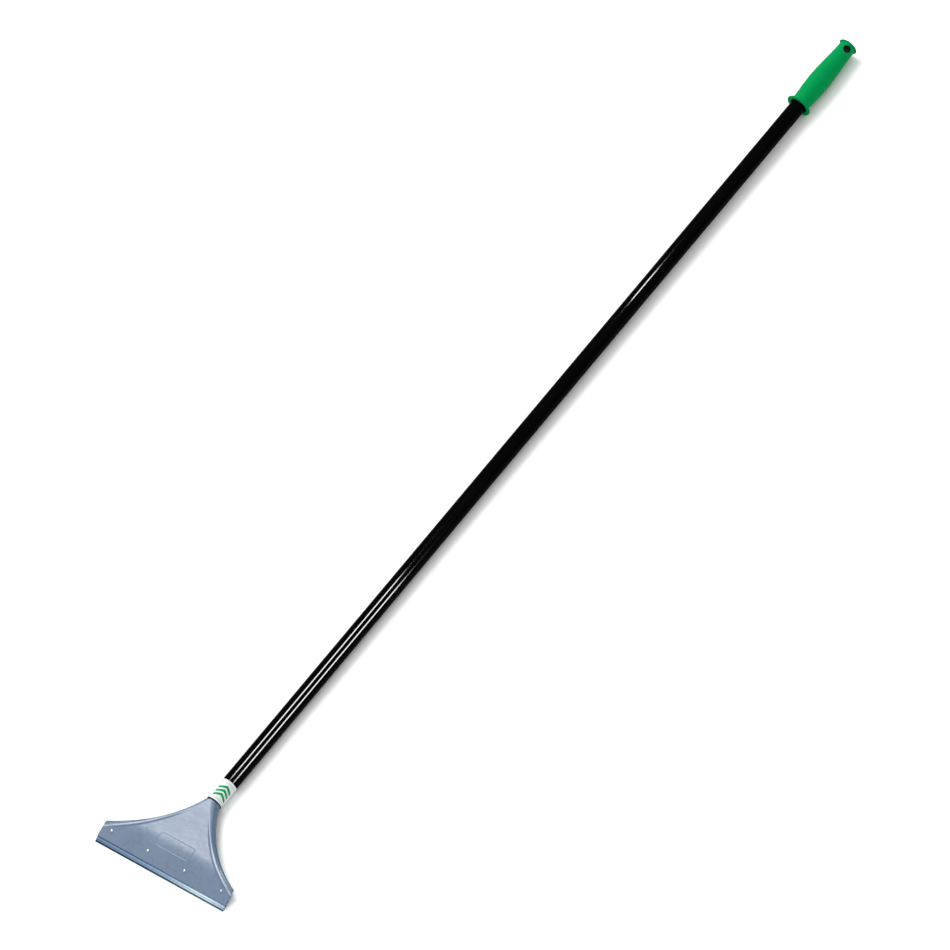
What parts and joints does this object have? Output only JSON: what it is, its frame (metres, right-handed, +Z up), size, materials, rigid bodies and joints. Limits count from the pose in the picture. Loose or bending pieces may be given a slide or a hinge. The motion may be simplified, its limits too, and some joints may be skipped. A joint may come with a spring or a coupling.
{
  "type": "ice scraper",
  "caption": "Long-handled scraper for ice and packed snow: flared steel pan with a riveted straight blade, painted tube handle, moulded grip with hand stop and hanging hole.",
  "frame": {"origin": "on the ground, under the middle of the tool's bounding box, with the tool lying face up on its blade and hand stop", "axes": "+X along the handle from the blade to the grip, +Y along the blade, +Z up out of the pan's face"},
  "size_m": [1.517, 0.217, 0.036],
  "materials": {
    "pan_paint": "satin blue-grey enamel",
    "blade_steel": "ground, with a bluish hardening tint",
    "rivet_steel": "bright zinc",
    "tang_steel": "plain mill finish",
    "tube_paint": "gloss black enamel",
    "film_white": "satin printed film",
    "grip_green": "satin moulded plastic"
  },
  "bodies": {
    "root": {"scraper_pan": "pan_paint", "blade": "blade_steel", "rivet_1": "rivet_steel", "rivet_2": "rivet_steel", "rivet_3": "rivet_steel", "rivet_4": "rivet_steel", "washer_1": "rivet_steel", "washer_2": "rivet_steel", "washer_3": "rivet_steel", "washer_4": "rivet_steel", "tang": "tang_steel", "tang_pin": "rivet_steel", "handle_tube": "tube_paint", "label_film": "film_white", "grip": "grip_green"}
  },
  "joints": []
}
